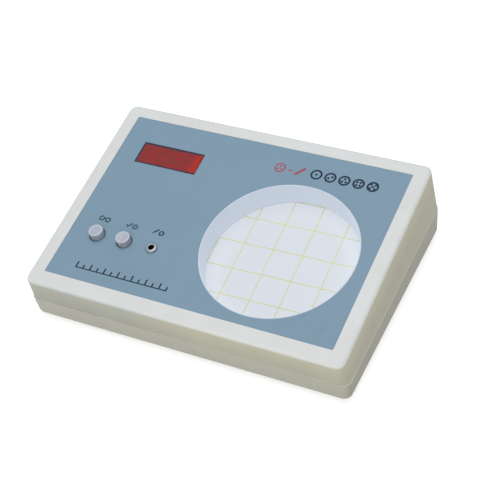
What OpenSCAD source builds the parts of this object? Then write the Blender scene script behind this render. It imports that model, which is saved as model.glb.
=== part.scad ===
// Colony counter: a two-part moulded housing with a sloping panel, a lit round dish well
// with an engraved grid, two push buttons, a probe socket and a red display window.
// Units are millimetres. The housing stands on its feet at Z = 0, +Y points to the rear.

/* [Housing] */
// Width of the sloping top face
top_w = 218; // [214:1:240]
// Length of the top face, measured along its slope
top_l = 154; // [152:1:170]
// Height of the front top edge above the underside of the housing
front_h = 33.5; // [33:0.5:40]
// Slope of the top face in degrees
top_slope = 8.6; // [8:0.2:10]
// Height of the seam between the two shells at the front
seam_h = 15; // [13:0.5:17]
// Slope of the seam in degrees
seam_slope = 2.2; // [1:0.2:3]
// Thickness of the side, front, rear and bottom walls
wall = 3; // [2.6:0.1:3.4]
// Radius of the upright corners
corner_r = 5.3; // [4.4:0.1:8]
// Radius of the edge round the top face
top_edge_r = 2; // [1:0.1:2.5]
// Radius of the edge round the underside
bottom_edge_r = 3.3; // [2:0.1:4]
// How far each side flares out from the top edge to the seam
side_flare = 1.7; // [0:0.1:3]
// How far the front wall leans back from the top edge to the seam
front_lean = 1.8; // [0:0.1:3]
// How far the rear wall leans out from the top edge to the seam
rear_lean = 4.2; // [3:0.1:6]
// How far the lower shell draws in from the seam to the underside
lower_draft = 1; // [0:0.1:2]
// Height of the lip that locates the two shells
lip_h = 2; // [1:0.1:3]
// Slack between pieces that are fitted into each other
slack = 0.2; // [0.1:0.05:0.3]

/* [Panel] */
// Border of the top face left and right of the panel
border_side = 9.8; // [8:0.1:12]
// Border of the top face in front of the panel
border_front = 10.5; // [9:0.1:12]
// Border of the top face behind the panel
border_rear = 9.5; // [8:0.1:12]
// Thickness of the panel sheet
panel_t = 1; // [0.8:0.1:1.5]
// Depth of the panel's face below the top face
panel_drop = 0.4; // [0.1:0.1:0.8]
// Corner radius of the panel
panel_r = 0.8; // [0.5:0.1:4]
// Thickness of the moulded deck that carries the panel
deck_t = 2.5; // [2.3:0.1:3]

/* [Well] */
// Inner diameter of the dish well
well_d = 100; // [92:1:102]
// Depth from the panel's face to the grid plate
well_depth = 17.5; // [15:0.1:18]
// Well centre, measured from the panel's right edge
well_from_right = 59.6; // [58:0.1:64]
// Well centre, measured from the panel's front edge
well_from_front = 57.6; // [57:0.1:64]
// Wall thickness of the translucent ring
ring_wall = 2; // [1.6:0.1:2.4]
// Width of the ring's flange under the panel
ring_flange = 3.4; // [3:0.1:5]
// Thickness of the ring's flange
ring_flange_t = 1.2; // [0.8:0.1:1.2]
// Thickness of the ring's thin rim, which shows round the well in the panel's hole
ring_rim = 0.6; // [0.4:0.1:1]
// Width of the square grid plate
plate_w = 113; // [112.5:0.5:114]
// Thickness of the grid plate
plate_t = 3; // [2:0.1:3.2]
// Distance between the engraved lines
grid_pitch = 20; // [10:0.5:25]
// Width of an engraved line
grid_line = 0.5; // [0.3:0.05:0.8]
// Depth of an engraved line
grid_depth = 0.3; // [0.1:0.05:0.5]
// Turn of the engraved grid against the panel in degrees
grid_turn = 1.3; // [0:0.1:3]
// Shift of the engraved grid to the left of the well's centre
grid_shift = 1; // [0:0.1:2]
// Gap between the well's wall and the short lines that close the outer squares
grid_inset = 0.8; // [0.5:0.1:3]

/* [Controls] */
// Diameter of a button cap
button_d = 9.5; // [8:0.1:10.5]
// Height of a button cap above the panel's face
button_h = 4.6; // [3:0.1:6]
// Travel of a button
button_travel = 1.5; // [0.8:0.1:1.8]
// Diameter of a button's hole in the panel
button_hole_d = 11; // [11:0.1:12]
// First button, measured from the panel's left edge
row_start = 20; // [19:0.5:22]
// Distance between the buttons and the probe socket
row_pitch = 20; // [18:0.5:22]
// Row of buttons, measured from the panel's front edge
row_from_front = 35.7; // [34:0.1:40]
// Diameter of a button's stem
stem_d = 5; // [4:0.1:6]
// Bore of the probe socket
jack_bore_d = 3.6; // [3.5:0.1:3.8]
// Outer diameter of the probe socket's bush
jack_bush_d = 6; // [5.5:0.1:6.4]
// Outer diameter of the probe socket's ring nut
jack_nut_d = 7.8; // [7.6:0.1:9]

/* [Display] */
// Width of the red window
window_w = 45; // [40:0.5:46]
// Height of the red window along the slope
window_l = 17; // [15:0.5:18]
// Window centre, measured from the panel's left edge
window_from_left = 37.7; // [36:0.1:40]
// Window centre, measured from the panel's rear edge
window_from_rear = 27.8; // [26:0.1:32]
// Width, length and height of one digit module
digit_size = [12.6, 19, 8];
// Number of digit modules
digits = 3; // [2:1:3]

/* [Rear connectors] */
// Middle of the mains inlet, to the right of the middle of the housing
inlet_x = 50; // [40:1:60]
// Middle of the fuse holder, from the middle of the housing
fuse_x = -8; // [-9:1:-5]
// Middle of the mains switch, from the middle of the housing
rocker_x = -50; // [-54:1:-44]
// Height of the connectors up the rear wall, measured from the seam
rear_row_up = 17; // [16.5:0.1:18]
// Tilt of the rocker at rest in degrees, to each side of its middle
rocker_tilt = 12; // [8:1:12]
// Diameter of the rocker's pivot pin
rocker_pin_d = 2.4; // [2:0.1:3]
// Radial running clearance of pins in their bores
pin_slack = 0.06; // [0.03:0.01:0.1]

/* [Lamp and supply] */
// Diameter of the lamp tube
lamp_d = 16; // [12:0.5:16]
// Length of the lamp between its end faces
lamp_l = 136; // [130:1:138]
// Gap between the lamp's right-hand holder and the side wall
lamp_gap = 4.5; // [3:0.1:8]
// Thickness of printed boards
board_t = 1.6; // [1.2:0.1:2]
// Height of the supply board above the floor
supply_lift = 5; // [4:0.5:6]
// Height of the rubber feet below the housing
foot_h = 2; // [1:0.1:4]
// Diameter of the rubber feet
foot_d = 12; // [10:0.5:13]

/* [Hidden] */
$fn = 48;

// Housing outline
run = top_l * cos(top_slope);
seam_front_y = front_lean;
seam_back_y = run + rear_lean;
seam_l = (seam_back_y - seam_front_y) / cos(seam_slope);
seam_back_z = seam_h + (seam_back_y - seam_front_y) * tan(seam_slope);
// A straight band beside the seam, and the rear wall that leans in from it
band = 0.3;
edge_y = (top_l - top_edge_r) * cos(top_slope) + top_edge_r * sin(top_slope);
edge_z = front_h + (top_l - top_edge_r) * sin(top_slope) - top_edge_r * cos(top_slope);
rear_foot_y = seam_back_y - band * sin(seam_slope);
rear_foot_z = seam_back_z + band * cos(seam_slope);
edge_away = norm([edge_y - rear_foot_y, edge_z - rear_foot_z]);
rear_tilt = atan((rear_foot_y - edge_y) / (edge_z - rear_foot_z)) - asin(top_edge_r / edge_away);
seam_w = top_w + 2 * side_flare;
lip_t = wall / 2 - 0.1;

// Layers under the top face, as depths below it
panel_w = top_w - 2 * border_side;
panel_l = top_l - border_front - border_rear;
recess_drop = panel_drop + panel_t;
deck_drop = recess_drop + deck_t;
plate_top = panel_drop + well_depth;
plate_bottom = plate_top + plate_t;
gap = 0.3;
board_drop = deck_drop + gap + digit_size.z;

// Well ring and grid plate
ring_d = well_d + 2 * ring_wall;
flange_d = ring_d + 2 * ring_flange;
rim_d = well_d + 2 * ring_rim;
plate_r = 6;
plate_hole = plate_w / 2 - plate_r;
plate_post_d = 7;
grid_edge = well_d / 2 - grid_inset;
well_x = panel_w / 2 - well_from_right;
well_y = border_front + well_from_front;

// Ledge under the window, and the digits set against the left side of its opening
window_ledge = 1.5;
digits_w = digits * (digit_size.x + gap) - gap;
digits_left = (window_w - 2 * window_ledge - digits_w) / 2;

// Buttons, switches and socket
switch_w = 12;
switch_h = 4.5;
switch_top = board_drop - switch_h;
flange_t = 1;
stem_end = switch_top + 1.5;
bore_floor = stem_end + button_travel + 1;
jack_body_d = 8;
jack_x = row_start + 2 * row_pitch;

// Control board, hung from the deck
control_w = 68;
control_l = 94;
control_x = 3;
control_y = 25.5;
board_hole = 4;
board_post_d = 6;

// Screws: diameter and height of each head, and how far the thread goes into its post
screw_d = 2.5;
thread_d = screw_d + 0.1;
plate_head = [5, 2];
plate_bite = 7;
board_head = [4.6, 1.8];
board_bite = 5;
supply_bite = 3.5;

// Rear connectors
inlet_w = 27;
inlet_h = 19.6;
inlet_in = 22;
inlet_border = 2;
socket_w = 24.2;
socket_h = 16.4;
socket_in = 16;
socket_cut = 5;
pin_recess = 4.5;
pin_size = [2, 4];
pin_places = [[-7, -2], [0, 2], [7, -2]];
switch_bezel = [16, 24, 1.5];
switch_body = [13, 21.2, 16];
switch_tab = [0.8, 4.8, 6];
switch_tabs = [-6, 0, 6];
rocker_w = 9.8;
rocker_l = 16.6;
rocker_crown = [3.8, 4.2, 5.4];
rocker_heel = 1.5;
rocker_root = [3, 4];
pivot_in = 3;
fuse_bezel_d = 15;
fuse_body_d = 11.6;
fuse_bore_d = 7.4;
fuse_in = 24.5;
cap_d = 12.5;
cap_h = 6;
cap_gap = 0.3;
bezel_t = 2;
cap_proud = bezel_t + cap_gap + cap_h;

// The origin is the middle of the whole depth, on the surface that the feet stand on
front_most = top_edge_r * (cos(top_slope) + sin(top_slope)) - top_edge_r;
rear_most = rear_foot_y - (rear_row_up - cap_d / 2) * sin(rear_tilt) + cap_proud * cos(rear_tilt);
mid_y = (front_most + rear_most) / 2;

// Inside layout, on the floor of the lower shell
wall_x = seam_w / 2 - lower_draft - wall;
wall_y = seam_back_y - lower_draft - wall;
holder_t = 9;
lamp_x = wall_x - lamp_gap - holder_t - slack - lamp_l / 2;
lamp_y = well_y * cos(top_slope) + plate_bottom * sin(top_slope);
tray_t = 0.8;
lamp_z = wall + tray_t + 1.2 + lamp_d / 2;
lamp_pin_l = 7;
lamp_pin_d = 2.4;
lamp_pins = [-2.4, 2.4];
lamp_cap_l = 8;
holder_w = 18;
tray_inset = 12;
holder_h = lamp_z + lamp_d / 2 - 0.5 - wall;
post_x = top_w / 2 - 8.5;
post_front = 12;
post_rear = run - 14;
foot_x = top_w / 2 - 25;
foot_front = 22;
foot_rear = run - 22;
case_screw_d = 3;
case_head_d = 5.6;
case_head_h = 2.2;
case_bite = 9;
post_web = 4;
post_d = 10;
post_down_d = 9;
tray_w = 40;
tray_side = 8;

// Parts of the supply, side by side between the lamp tray and the rear wall
supply_row_y = (lamp_y + tray_w / 2 + wall_y) / 2;
core = [38, 13, 29];
core_leg = 12;
core_yoke = 6;
coil_build = 6.5;
core_gap = 7.7;
core_x = -wall_x + core_gap + core.x / 2;
choke_foot = [84, 30, 1];
choke_can = [60, 30, 19];
choke_hole_inset = 4;
choke_hole_d = 4;
choke_end = [8, 24, 17];
choke_gap = 12.7;
choke_x = wall_x - choke_gap - choke_foot.x / 2;
supply_w = 46;
supply_l = 36;
capacitor_places = [[-12, -6], [0, -6]];
capacitor_d = 10;
capacitor_h = 12;
sink = [2, 22, 14];
sink_x = 13;
fin = [6, 1.2];
fin_pitch = 4.8;
supply_x = (core_x + core.x / 2 + choke_x - choke_foot.x / 2) / 2;
starter_d = 21.5;
starter_l = 32;
starter_foot = [44, 20, 1.5];
starter_socket = [10, 22];
starter_gap = 26.7;
starter_x = -wall_x + starter_gap;
starter_y = 27;
starter_z = wall + starter_foot.z + starter_d / 2;

module on_floor(x = 0, y = 0, z = 0)
    translate([x, y - mid_y, foot_h + z]) children();

module on_top(x = 0, y = 0, z = 0)
    on_floor(0, 0, front_h) rotate([top_slope, 0, 0]) translate([x, y, z]) children();

module on_panel(x, y, z = 0)
    on_top(x - panel_w / 2, border_front + y, z) children();

module on_seam(z = 0)
    on_floor(0, seam_front_y, seam_h) rotate([seam_slope, 0, 0])
        translate([0, seam_l / 2, z]) children();

module on_rear(x, up = 0, out = 0)
    on_floor(x, rear_foot_y, rear_foot_z) rotate([90 - rear_tilt, 0, 180])
        translate([0, up, out]) children();

module in_well(z = 0)
    on_top(well_x, well_y, z) children();

module four(x, y)
    for (i = [-1, 1], j = [-1, 1]) translate([i * x, j * y, 0]) children();

module rounded(w, l, r) {
    square([w - 2 * r, l], center = true);
    square([w, l - 2 * r], center = true);
    four(w / 2 - r, l / 2 - r) circle(r);
}

module slab(w, l, h, r)
    linear_extrude(h) rounded(w, l, r);

module block(w, l, h)
    translate([-w / 2, -l / 2, 0]) cube([w, l, h]);

// One upright corner whose edge is rounded with the radius e
module corner(r, e)
    rotate_extrude($fn = 32) union() {
        intersection() {
            translate([r - e, 0]) circle(e, $fn = 24);
            square([r, e]);
        }
        square([max(r - e, 0.1), e]);
    }

// The four corners of the top face, drawn in by the distance i
module top_corners(i, z)
    on_top(0, top_l / 2, z) four(top_w / 2 - i, top_l / 2 - i) children();

// The four corners of the seam, drawn in by the distance i
module seam_corners(i, z)
    on_seam(z) four(seam_w / 2 - i, seam_l / 2 - i) children();

module bottom_corners(i, z)
    on_floor(0, (seam_front_y + seam_back_y) / 2, z)
        four(seam_w / 2 - lower_draft - i, (seam_back_y - seam_front_y) / 2 - lower_draft - i)
            children();

module upper_body()
    hull() {
        top_corners(corner_r, -top_edge_r) corner(corner_r, top_edge_r);
        seam_corners(corner_r, 0) cylinder(r = corner_r, h = band, $fn = 32);
    }

module upper_space() {
    r = corner_r - wall;
    hull() {
        top_corners(corner_r, -deck_drop - band) cylinder(r = r, h = band, $fn = 24);
        seam_corners(corner_r, -1) cylinder(r = r, h = 1 + band, $fn = 24);
    }
}

module lower_body()
    hull() {
        seam_corners(corner_r, -band) cylinder(r = corner_r, h = band, $fn = 32);
        bottom_corners(corner_r, bottom_edge_r) mirror([0, 0, 1]) corner(corner_r, bottom_edge_r);
    }

module lower_space() {
    r = corner_r - wall;
    hull() {
        seam_corners(corner_r, -band) cylinder(r = r, h = 1 + band, $fn = 24);
        bottom_corners(corner_r, wall) cylinder(r = r, h = band, $fn = 24);
    }
}

// Straight ring at the seam, between two distances from the outside
module seam_ring(i_out, i_in, z0, z1)
    on_seam(z0) difference() {
        slab(seam_w - 2 * i_out, seam_l - 2 * i_out, z1 - z0, corner_r - i_out);
        translate([0, 0, -1])
            slab(seam_w - 2 * i_in, seam_l - 2 * i_in, z1 - z0 + 2, max(corner_r - i_in, 0.5));
    }

// Height of the seam at a distance from the front edge
function seam_z(y) = seam_h + (y - seam_front_y) * tan(seam_slope);

// Height of the top face at a distance from the front edge and a depth below it
function top_z(y, drop) = front_h + y * tan(top_slope) - drop / cos(top_slope);

module at_posts(side)
    for (x = [-post_x, post_x]) on_floor(x, side) children();

module posts_down(y)
    at_posts(y) difference() {
        translate([0, 0, seam_z(y)])
            cylinder(d = post_down_d, h = top_z(y, recess_drop + deck_t / 2) - seam_z(y));
        translate([0, 0, seam_z(y) - 1]) cylinder(d = case_screw_d + 0.1, h = case_bite + 3);
    }

module posts_up(y)
    at_posts(y) cylinder(d = post_d, h = seam_z(y));

module post_bores(y)
    at_posts(y) {
        translate([0, 0, -1]) cylinder(d = case_screw_d + 0.4, h = seam_z(y) + 2);
        translate([0, 0, -1]) cylinder(d = case_head_d + 0.8, h = seam_z(y) - post_web + 1);
    }

module plate_posts()
    in_well(-plate_top) four(plate_hole, plate_hole) difference() {
        cylinder(d = plate_post_d, h = plate_top - recess_drop - 0.5);
        translate([0, 0, -1]) cylinder(d = thread_d, h = plate_bite + 2);
    }

module on_control(z = 0)
    on_panel(control_x + control_w / 2, control_y + control_l / 2, z) children();

module control_posts()
    on_control(-board_drop) four(control_w / 2 - board_hole, control_l / 2 - board_hole)
        difference() {
            cylinder(d = board_post_d, h = digit_size.z + gap + deck_t / 2);
            translate([0, 0, -1]) cylinder(d = thread_d, h = board_bite + 2);
        }

module on_window(z = 0)
    on_panel(window_from_left, panel_l - window_from_rear, z) children();

module rear_cutouts() {
    on_rear(inlet_x, rear_row_up, -wall - 2) block(inlet_w + 2 * slack, inlet_h + 2 * slack, wall + 4);
    on_rear(rocker_x, rear_row_up, -wall - 2)
        block(switch_body.x + 2 * slack, switch_body.y + 2 * slack, wall + 4);
    on_rear(fuse_x, rear_row_up, -wall - 2) cylinder(d = fuse_body_d + 2 * slack, h = wall + 4);
}

module deck_cutouts() {
    on_top(0, border_front + panel_l / 2, -recess_drop)
        slab(panel_w + 2 * slack, panel_l + 2 * slack, recess_drop + 2, panel_r);
    in_well(-deck_drop - 2) cylinder(d = ring_d + 2 * slack, h = deck_t + 4, $fn = 96);
    in_well(-recess_drop - ring_flange_t) cylinder(d = flange_d + 2 * slack, h = 4, $fn = 96);
    on_window(-deck_drop + 1) block(window_w + 2 * slack, window_l + 2 * slack, deck_t + 2);
    on_window(-deck_drop - 1)
        block(window_w - 2 * window_ledge, window_l - 2 * window_ledge, 4);
    for (k = [0, 1]) on_panel(row_start + k * row_pitch, row_from_front, -deck_drop - 1)
        cylinder(d = button_hole_d, h = deck_t + 2);
    on_panel(jack_x, row_from_front, -deck_drop - 1) cylinder(d = jack_bush_d + 2 * slack, h = deck_t + 2);
}

module upper_shell()
    color([0.86, 0.86, 0.82]) difference() {
        union() {
            difference() {
                upper_body();
                upper_space();
                seam_ring(lip_t - slack, wall + 2, -2, lip_h + gap);
            }
            posts_down(post_front);
            posts_down(post_rear);
            plate_posts();
            control_posts();
        }
        deck_cutouts();
        rear_cutouts();
    }

vent_w = 3;
vent_l = 26;
vent_pitch = 7;
rear_vents = 5;
front_vents = 9;

// A row of slots with round ends through the floor
module vents(x, y, n)
    for (k = [0 : n - 1]) on_floor(x + (k - (n - 1) / 2) * vent_pitch, y, -1) {
        translate([-vent_w / 2, -vent_l / 2, 0]) cube([vent_w, vent_l, wall + 2]);
        for (s = [-1, 1]) translate([0, s * vent_l / 2, 0]) cylinder(d = vent_w, h = wall + 2);
    }

module supply_posts()
    on_floor(supply_x, supply_row_y, wall - 0.5)
        four(supply_w / 2 - board_hole, supply_l / 2 - board_hole) difference() {
            cylinder(d = board_post_d, h = supply_lift + 0.5);
            translate([0, 0, 1]) cylinder(d = thread_d, h = supply_lift);
        }

module feet_places()
    for (x = [-foot_x, foot_x], y = [foot_front, foot_rear]) on_floor(x, y) children();

module lower_shell()
    color([0.78, 0.77, 0.7]) difference() {
        union() {
            difference() {
                lower_body();
                lower_space();
            }
            intersection() {
                seam_ring(lip_t, wall + 0.2, -2, lip_h);
                on_seam(-2) slab(seam_w, seam_l, lip_h + 3, corner_r);
            }
            posts_up(post_front);
            posts_up(post_rear);
            supply_posts();
        }
        post_bores(post_front);
        post_bores(post_rear);
        feet_places() translate([0, 0, -1]) cylinder(d = foot_d + 2 * slack, h = 2);
        vents(core_x, lamp_y + tray_w / 2 + vent_w, rear_vents);
        vents(choke_x - vent_w, post_front + vent_l - vent_w, front_vents);
    }

module front_panel()
    color([0.52, 0.63, 0.72]) difference() {
        on_top(0, border_front + panel_l / 2, -recess_drop) slab(panel_w, panel_l, panel_t, panel_r);
        in_well(-recess_drop - 1) cylinder(d = rim_d + 2 * slack, h = panel_t + 2, $fn = 96);
        on_window(-recess_drop - 1) block(window_w + 2 * slack, window_l + 2 * slack, panel_t + 2);
        for (k = [0, 1]) on_panel(row_start + k * row_pitch, row_from_front, -recess_drop - 1)
            cylinder(d = button_hole_d, h = panel_t + 2);
        on_panel(jack_x, row_from_front, -recess_drop - 1)
            cylinder(d = jack_bush_d + 2 * slack, h = panel_t + 2);
    }

module display_window()
    color([0.62, 0.1, 0.1]) on_window(-deck_drop + 1)
        block(window_w - 0.6, window_l - 0.6, deck_drop - 1 - panel_drop - 0.1);

// A button cap with its stop flange and stem
module button(k)
    on_panel(row_start + k * row_pitch, row_from_front) union() {
        translate([0, 0, -deck_drop - gap - 0.5])
            cylinder(d = button_d, h = button_h - panel_drop + deck_drop + gap - 0.3);
        translate([0, 0, button_h - panel_drop - 0.8])
            cylinder(d1 = button_d, d2 = button_d - 1, h = 0.8);
        translate([0, 0, -deck_drop - gap - flange_t]) cylinder(d = button_hole_d + 2, h = flange_t);
        translate([0, 0, -stem_end]) cylinder(d = stem_d, h = stem_end - deck_drop);
    }

module reset_button() color([0.78, 0.79, 0.84]) button(0);

module check_button() color([0.78, 0.79, 0.84]) button(1);

module push_switches()
    color([0.2, 0.2, 0.22])
        for (k = [0, 1]) on_panel(row_start + k * row_pitch, row_from_front, -board_drop)
            difference() {
                block(switch_w, switch_w, switch_h);
                translate([0, 0, board_drop - bore_floor])
                    cylinder(d = stem_d + 2 * slack, h = switch_h);
            }

// Centre line and ring of a coil spring
spring_turns = 3;
spring_wire = 0.4;
spring_r = stem_d / 2 - 0.6;
spring_steps = 14;
spring_sides = 6;

function coil_ring(a, z) = [
    for (s = [0 : spring_sides - 1])
        let (t = 360 * s / spring_sides, r = spring_r + spring_wire / 2 * cos(t))
            [r * cos(a), r * sin(a), z + spring_wire / 2 * sin(t)]
];

module coil_spring(h) {
    n = spring_turns * spring_steps;
    rise_each = (h - spring_wire) / n;
    points = [for (k = [0 : n]) each coil_ring(360 * k / spring_steps, spring_wire / 2 + k * rise_each)];
    sides = [
        for (k = [0 : n - 1], s = [0 : spring_sides - 1])
            let (a = k * spring_sides, b = a + spring_sides, t = (s + 1) % spring_sides)
                [a + s, b + s, b + t, a + t]
    ];
    first = [for (s = [0 : spring_sides - 1]) s];
    last = [for (s = [spring_sides - 1 : -1 : 0]) n * spring_sides + s];
    polyhedron(points, concat(sides, [first, last]));
}

module button_spring(k)
    color("silver") on_panel(row_start + k * row_pitch, row_from_front, -bore_floor + 0.05)
        coil_spring(bore_floor - stem_end - 0.1);

module reset_spring() button_spring(0);

module check_spring() button_spring(1);

module probe_jack()
    color([0.25, 0.25, 0.27]) on_panel(jack_x, row_from_front) difference() {
        union() {
            translate([0, 0, -board_drop]) cylinder(d = jack_body_d, h = board_drop - deck_drop);
            translate([0, 0, -deck_drop - 1]) cylinder(d = jack_bush_d, h = deck_drop - panel_drop + 2.4);
        }
        translate([0, 0, -board_drop + 1]) cylinder(d = jack_bore_d, h = board_drop + 4);
    }

module jack_nut()
    color([0.8, 0.8, 0.82]) on_panel(jack_x, row_from_front, -panel_drop) difference() {
        union() {
            cylinder(d = jack_nut_d, h = 1.1);
            translate([0, 0, 1.1]) cylinder(d1 = jack_nut_d, d2 = jack_nut_d - 0.8, h = 0.4);
        }
        translate([0, 0, -1]) cylinder(d = jack_bush_d + 0.1, h = 4);
    }

module well_ring()
    color([0.8, 0.83, 0.9]) difference() {
        union() {
            in_well(-plate_top) cylinder(d = ring_d, h = plate_top - recess_drop, $fn = 96);
            in_well(-recess_drop - ring_flange_t) cylinder(d = flange_d, h = ring_flange_t, $fn = 96);
            in_well(-recess_drop - 0.5) cylinder(d = rim_d, h = panel_t + 0.5, $fn = 96);
        }
        in_well(-plate_top - 1) cylinder(d = well_d, h = plate_top + 2, $fn = 96);
    }

// An engraved line along X, at the distance y and as far as half to each side
module groove(y, half)
    translate([-half, y - grid_line / 2, plate_t - grid_depth]) cube([2 * half, grid_line, 1]);

module grid_plate() {
    reach = ring_d / 2 - 1;
    rows = [for (d = [grid_pitch / 2 : grid_pitch : grid_edge - 5]) each [-d, d]];
    color([0.85, 0.87, 0.9]) in_well(-plate_bottom) difference() {
        slab(plate_w, plate_w, plate_t, plate_r);
        four(plate_hole, plate_hole) translate([0, 0, -1]) cylinder(d = screw_d + 0.6, h = plate_t + 2);
        rotate(grid_turn) {
            for (d = rows) groove(d, sqrt(reach * reach - d * d));
            rotate(90) for (d = rows)
                groove(d + grid_shift, sqrt(reach * reach - pow(d + grid_shift, 2)));
            for (side = [-1, 1]) {
                translate([-grid_shift, 0, 0]) groove(side * grid_edge, grid_pitch / 2);
                rotate(90) groove(side * grid_edge, grid_pitch / 2);
            }
        }
    }
}

// Pan-head screw with a cross recess, its head below Z = 0 and its shank above
module screw(head_d, head_h, shank_d, shank_l)
    difference() {
        union() {
            cylinder(d = shank_d, h = shank_l);
            translate([0, 0, -head_h]) cylinder(d1 = head_d - 1, d2 = head_d, h = head_h / 2);
            translate([0, 0, -head_h / 2]) cylinder(d = head_d, h = head_h / 2);
        }
        for (turn = [0, 90]) rotate(turn) translate([-head_d / 4, -0.3, -head_h - 1])
            cube([head_d / 2, 0.6, head_h / 2 + 1]);
    }

module plate_screws()
    color("silver") in_well(-plate_bottom) four(plate_hole, plate_hole)
        screw(plate_head.x, plate_head.y, screw_d, plate_t + plate_bite);

module board_screws()
    color("silver") {
        on_control(-board_drop - board_t) four(control_w / 2 - board_hole, control_l / 2 - board_hole)
            screw(board_head.x, board_head.y, screw_d, board_t + board_bite);
        on_floor(supply_x, supply_row_y, wall + supply_lift + board_t) mirror([0, 0, 1])
            four(supply_w / 2 - board_hole, supply_l / 2 - board_hole)
                screw(board_head.x, board_head.y, screw_d, board_t + supply_bite);
    }

module control_board()
    color([0.1, 0.35, 0.2]) on_control(-board_drop - board_t) difference() {
        block(control_w, control_l, board_t);
        four(control_w / 2 - board_hole, control_l / 2 - board_hole)
            translate([0, 0, -1]) cylinder(d = screw_d + 0.4, h = board_t + 2);
    }

module digit_modules()
    color([0.12, 0.12, 0.13]) on_window(-board_drop)
        for (k = [0 : digits - 1])
            translate([(k - (digits - 1) / 2) * (digit_size.x + gap) - digits_left, 0, 0])
            difference() {
                block(digit_size.x, digit_size.y, digit_size.z);
                translate([0, 0, digit_size.z - 0.4]) block(digit_size.x - 1.6, digit_size.y - 1.6, 1);
            }

// Chips on the underside of the control board, in two columns and three rows
chip = [19.4, 6.4, 3.3];
chip_columns = [-15, 12];
chip_rows = [-12, 0, 12];

module board_chips()
    color([0.1, 0.1, 0.11]) on_control(-board_drop - board_t - chip.z)
        for (x = chip_columns, y = chip_rows) translate([x, y, 0]) difference() {
            block(chip.x, chip.y, chip.z);
            translate([-chip.x / 2, 0, -1]) cylinder(d = 1.6, h = 2);
        }

buzzer_place = [10, -4];
buzzer_d = 12;
buzzer_h = 7;

module buzzer()
    color([0.08, 0.08, 0.08]) on_control(-board_drop) translate(buzzer_place) difference() {
        cylinder(d = buzzer_d, h = buzzer_h);
        translate([0, 0, buzzer_h - 1]) cylinder(d = 2, h = 2);
    }

module lamp_tube()
    color([0.95, 0.95, 0.97]) on_floor(lamp_x - lamp_l / 2 + lamp_cap_l, lamp_y, lamp_z)
        rotate([0, 90, 0]) cylinder(d = lamp_d - 0.5, h = lamp_l - 2 * lamp_cap_l);

module lamp_caps()
    color("silver") for (s = [0, 1]) on_floor(lamp_x, lamp_y, lamp_z) mirror([s, 0, 0])
        translate([lamp_l / 2 - lamp_cap_l, 0, 0]) rotate([0, 90, 0]) {
            cylinder(d = lamp_d, h = lamp_cap_l);
            for (p = lamp_pins) translate([p, 0, lamp_cap_l - 1])
                cylinder(d = lamp_pin_d, h = lamp_pin_l + 1);
        }

module lamp_holders()
    color([0.9, 0.9, 0.88]) for (s = [0, 1]) on_floor(lamp_x, lamp_y, wall) mirror([s, 0, 0])
        translate([lamp_l / 2 + slack, 0, 0]) difference() {
            translate([0, -holder_w / 2, 0]) cube([holder_t, holder_w, holder_h]);
            for (p = lamp_pins) translate([-1, 0, lamp_z - wall + p])
                rotate([0, 90, 0]) cylinder(d = lamp_pin_d + 2 * slack, h = lamp_pin_l + 1.4);
        }

module lamp_tray()
    color([0.92, 0.92, 0.9]) on_floor(lamp_x - lamp_l / 2 + tray_inset, lamp_y, wall)
        rotate([90, 0, 90]) linear_extrude(lamp_l - 2 * tray_inset) polygon([
            [-tray_w / 2, tray_side], [-tray_w / 2 + 8, 0], [tray_w / 2 - 8, 0], [tray_w / 2, tray_side],
            [tray_w / 2 - 1, tray_side], [tray_w / 2 - 8.4, tray_t], [-tray_w / 2 + 8.4, tray_t],
            [-tray_w / 2 + 1, tray_side]
        ]);

starter_pins = [-6.5, 6.5];
starter_pin_d = 3;
starter_pin_l = 3;

module starter()
    color([0.9, 0.9, 0.85]) on_floor(starter_x, starter_y, starter_z) rotate([0, 90, 0]) {
        cylinder(d = starter_d, h = starter_l);
        for (p = starter_pins) translate([p, 0, starter_l - 1])
            cylinder(d = starter_pin_d, h = starter_pin_l + 1);
    }

module starter_base()
    color([0.85, 0.85, 0.83]) on_floor(starter_x, starter_y, wall) difference() {
        union() {
            translate([0, -starter_foot.y / 2, 0]) cube(starter_foot);
            translate([starter_l + slack, -starter_socket.y / 2, 0])
                cube([starter_socket.x, starter_socket.y, starter_d - 1]);
        }
        for (p = starter_pins) translate([starter_l - 1, 0, starter_z - wall + p])
            rotate([0, 90, 0]) cylinder(d = starter_pin_d + 2 * slack, h = starter_pin_l + 3);
    }

module choke()
    color([0.35, 0.36, 0.38]) on_floor(choke_x, supply_row_y, wall) difference() {
        union() {
            block(choke_foot.x, choke_foot.y, choke_foot.z);
            block(choke_can.x, choke_can.y, choke_can.z);
            for (s = [-1, 1]) translate([s * choke_can.x / 2, 0, 0])
                block(choke_end.x, choke_end.y, choke_end.z);
        }
        for (s = [-1, 1]) translate([s * (choke_foot.x / 2 - choke_hole_inset), 0, -1])
            cylinder(d = choke_hole_d, h = 4);
    }

module transformer_core()
    color([0.3, 0.3, 0.32]) on_floor(core_x, supply_row_y, wall) difference() {
        block(core.x, core.y, core.z);
        for (s = [-1, 1]) translate([s * (core_leg + coil_build + 0.5) / 2, 0, core_yoke])
            block(coil_build + 0.5, core.y + 2, core.z - 2 * core_yoke);
    }

module transformer_coil()
    color([0.75, 0.6, 0.2]) on_floor(core_x, supply_row_y, wall + core_yoke + 0.2) difference() {
        block(core_leg + 2 * coil_build, core.y + 2 * coil_build, core.z - 2 * core_yoke - 0.4);
        translate([0, 0, -1]) block(core_leg + 0.4, core.y + 0.4, core.z);
    }

module on_supply(x = 0, y = 0)
    on_floor(supply_x + x, supply_row_y + y, wall + supply_lift + board_t) children();

module supply_board()
    color([0.1, 0.35, 0.2]) on_floor(supply_x, supply_row_y, wall + supply_lift) difference() {
        block(supply_w, supply_l, board_t);
        four(supply_w / 2 - board_hole, supply_l / 2 - board_hole) translate([0, 0, -1])
            cylinder(d = screw_d + 0.4, h = board_t + 2);
    }

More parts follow.
